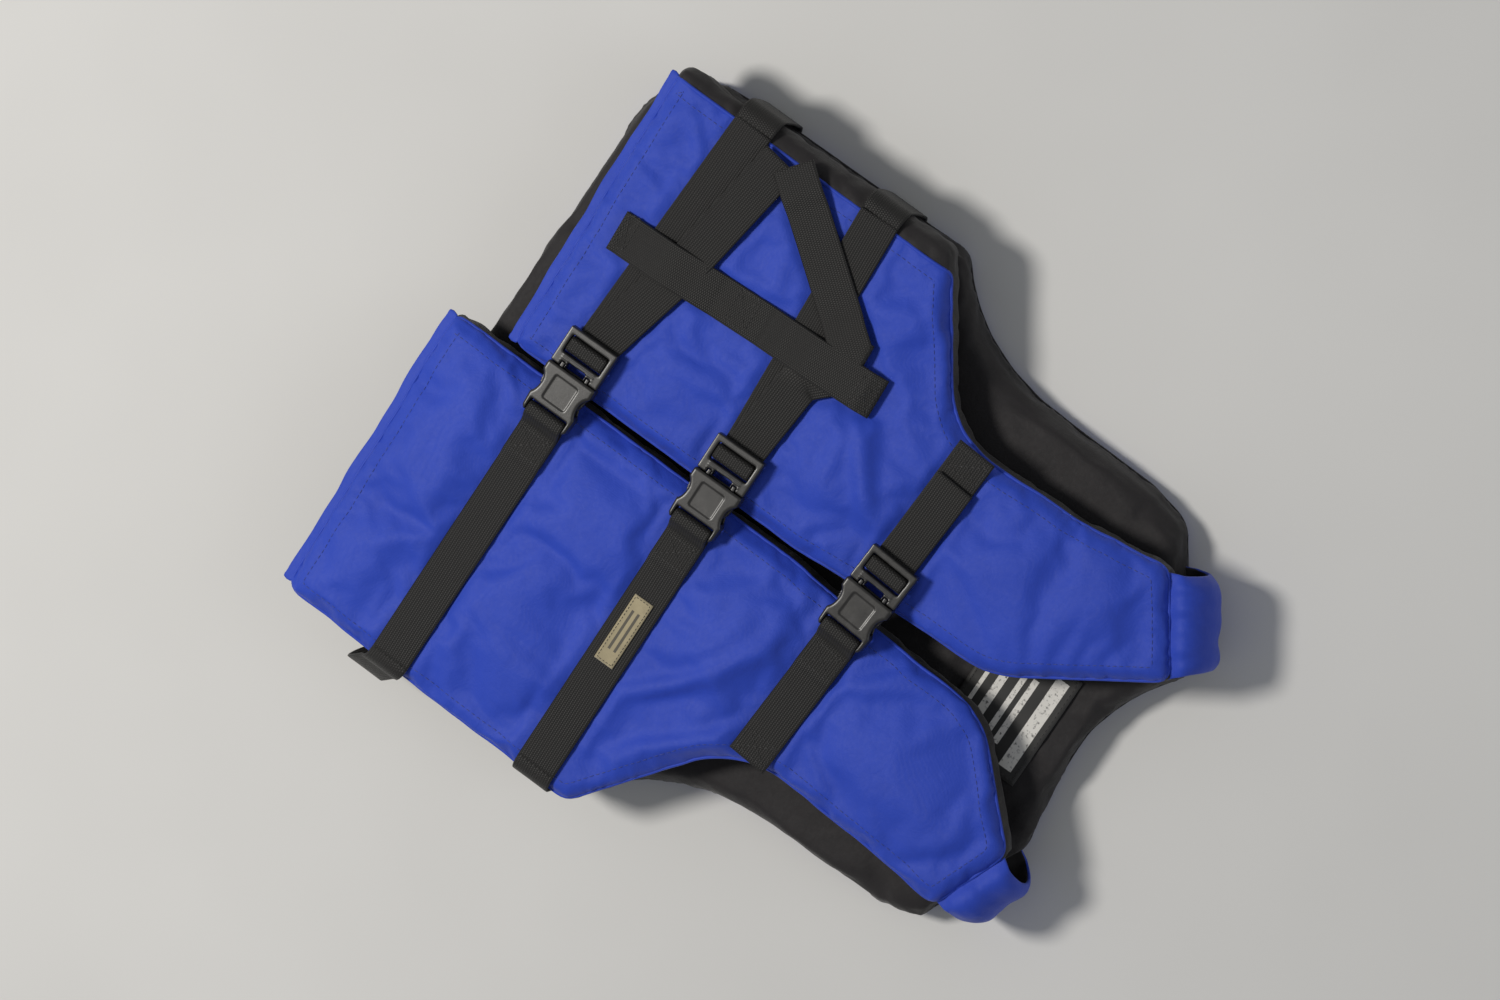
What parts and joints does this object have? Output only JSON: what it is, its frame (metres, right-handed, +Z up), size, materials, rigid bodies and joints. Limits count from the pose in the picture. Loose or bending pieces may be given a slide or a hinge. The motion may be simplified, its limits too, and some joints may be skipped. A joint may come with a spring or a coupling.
{
  "type": "life jacket",
  "caption": "Buckle-front foam flotation vest with two padded front panels, a padded back, webbing belts and side-release buckles, lying closed on its back.",
  "frame": {"origin": "on the floor under the line where the two front panels meet, halfway between the lowest corner of the hem and the top of the shoulders", "axes": "+Y towards the collar, +X towards the wearer's left, +Z up through the closed front"},
  "size_m": [0.4084, 0.4936, 0.0762],
  "materials": {
    "shell": "matte royal blue woven nylon",
    "lining": "matte black woven nylon",
    "foam": "closed-cell foam, hidden inside the panels",
    "webbing": "black ribbed polyester webbing",
    "buckle_plastic": "black moulded acetal, slightly glossy",
    "woven_label": "tan woven label with no lettering",
    "printed_label": "black cloth printed with plain pale bars"
  },
  "bodies": {
    "back": {"back_lining": "lining", "back_shell": "shell", "back_foam_outer": "foam", "back_foam_inner": "foam", "right_shoulder": "shell", "left_shoulder": "shell", "middle_belt_back": "webbing", "lower_belt_back": "webbing", "neck_label": "printed_label"},
    "right_front": {"right_front_shell": "shell", "right_front_lining": "lining", "right_front_foam_inner": "foam", "right_front_foam_outer": "foam", "chest_belt_right": "webbing", "chest_belt_tail": "webbing", "middle_belt_right": "webbing", "middle_belt_tail": "webbing", "middle_belt_wrap_right": "webbing", "lower_belt_right": "webbing", "lower_belt_tail": "webbing", "lower_belt_wrap_right": "webbing", "belt_keeper": "webbing"},
    "left_front": {"left_front_shell": "shell", "left_front_lining": "lining", "left_front_foam_inner": "foam", "left_front_foam_outer": "foam", "chest_belt_left": "webbing", "chest_buckle_socket": "buckle_plastic", "middle_belt_left": "webbing", "middle_belt_wrap_left": "webbing", "middle_buckle_socket": "buckle_plastic", "lower_belt_left": "webbing", "lower_belt_wrap_left": "webbing", "lower_buckle_socket": "buckle_plastic", "belt_label": "woven_label"},
    "chest_plug": {"chest_buckle_plug": "buckle_plastic", "chest_strap_loop": "webbing"},
    "chest_arm_upper": {"chest_latch_arm_upper": "buckle_plastic"},
    "chest_arm_lower": {"chest_latch_arm_lower": "buckle_plastic"},
    "middle_plug": {"middle_buckle_plug": "buckle_plastic", "middle_strap_loop": "webbing"},
    "middle_arm_upper": {"middle_latch_arm_upper": "buckle_plastic"},
    "middle_arm_lower": {"middle_latch_arm_lower": "buckle_plastic"},
    "lower_plug": {"lower_buckle_plug": "buckle_plastic", "lower_strap_loop": "webbing"},
    "lower_arm_upper": {"lower_latch_arm_upper": "buckle_plastic"},
    "lower_arm_lower": {"lower_latch_arm_lower": "buckle_plastic"}
  },
  "joints": [
    {"name": "right_front_swing", "type": "hinge", "parent": "back", "child": "right_front", "pos_m": [-0.1735, 0.0695, 0.0309], "axis": [-0.2332, -0.9724, 0], "range_deg": [0, 110], "deforming": ["right_shoulder", "middle_belt_wrap_right", "lower_belt_wrap_right"]},
    {"name": "left_front_swing", "type": "hinge", "parent": "back", "child": "left_front", "pos_m": [0.1715, 0.0745, 0.0309], "axis": [-0.2593, 0.9658, 0], "range_deg": [0, 110], "deforming": ["left_shoulder", "middle_belt_wrap_left", "lower_belt_wrap_left"]},
    {"name": "chest_buckle_release", "type": "slide", "parent": "right_front", "child": "chest_plug", "axis": [-0.9985, 0.0556, 0], "range_m": [0, 0.03], "deforming": ["chest_latch_arm_upper", "chest_latch_arm_lower"]},
    {"name": "chest_latch_upper", "type": "hinge", "parent": "chest_plug", "child": "chest_arm_upper", "pos_m": [-0.01441, 0.06295, 0.07115], "axis": [0, 0, -1], "range_deg": [0, 8], "stiffness_Nm_per_rad": 0.8},
    {"name": "chest_latch_lower", "type": "hinge", "parent": "chest_plug", "child": "chest_arm_lower", "pos_m": [-0.01538, 0.04537, 0.07115], "axis": [0, 0, -1], "range_deg": [-8, 0], "stiffness_Nm_per_rad": 0.8},
    {"name": "middle_buckle_release", "type": "slide", "parent": "right_front", "child": "middle_plug", "axis": [-1, -0.0098, 0], "range_m": [0, 0.03], "deforming": ["middle_latch_arm_upper", "middle_latch_arm_lower"]},
    {"name": "middle_latch_upper", "type": "hinge", "parent": "middle_plug", "child": "middle_arm_upper", "pos_m": [-0.01499, -0.04723, 0.07115], "axis": [0, 0, -1], "range_deg": [0, 8], "stiffness_Nm_per_rad": 0.8},
    {"name": "middle_latch_lower", "type": "hinge", "parent": "middle_plug", "child": "middle_arm_lower", "pos_m": [-0.01481, -0.06483, 0.07115], "axis": [0, 0, -1], "range_deg": [-8, 0], "stiffness_Nm_per_rad": 0.8},
    {"name": "lower_buckle_release", "type": "slide", "parent": "right_front", "child": "lower_plug", "axis": [-1, -0.0049, 0], "range_m": [0, 0.03], "deforming": ["lower_latch_arm_upper", "lower_latch_arm_lower"]},
    {"name": "lower_latch_upper", "type": "hinge", "parent": "lower_plug", "child": "lower_arm_upper", "pos_m": [-0.01494, -0.15421, 0.07115], "axis": [0, 0, -1], "range_deg": [0, 8], "stiffness_Nm_per_rad": 0.8},
    {"name": "lower_latch_lower", "type": "hinge", "parent": "lower_plug", "child": "lower_arm_lower", "pos_m": [-0.01486, -0.17181, 0.07115], "axis": [0, 0, -1], "range_deg": [-8, 0], "stiffness_Nm_per_rad": 0.8}
  ]
}
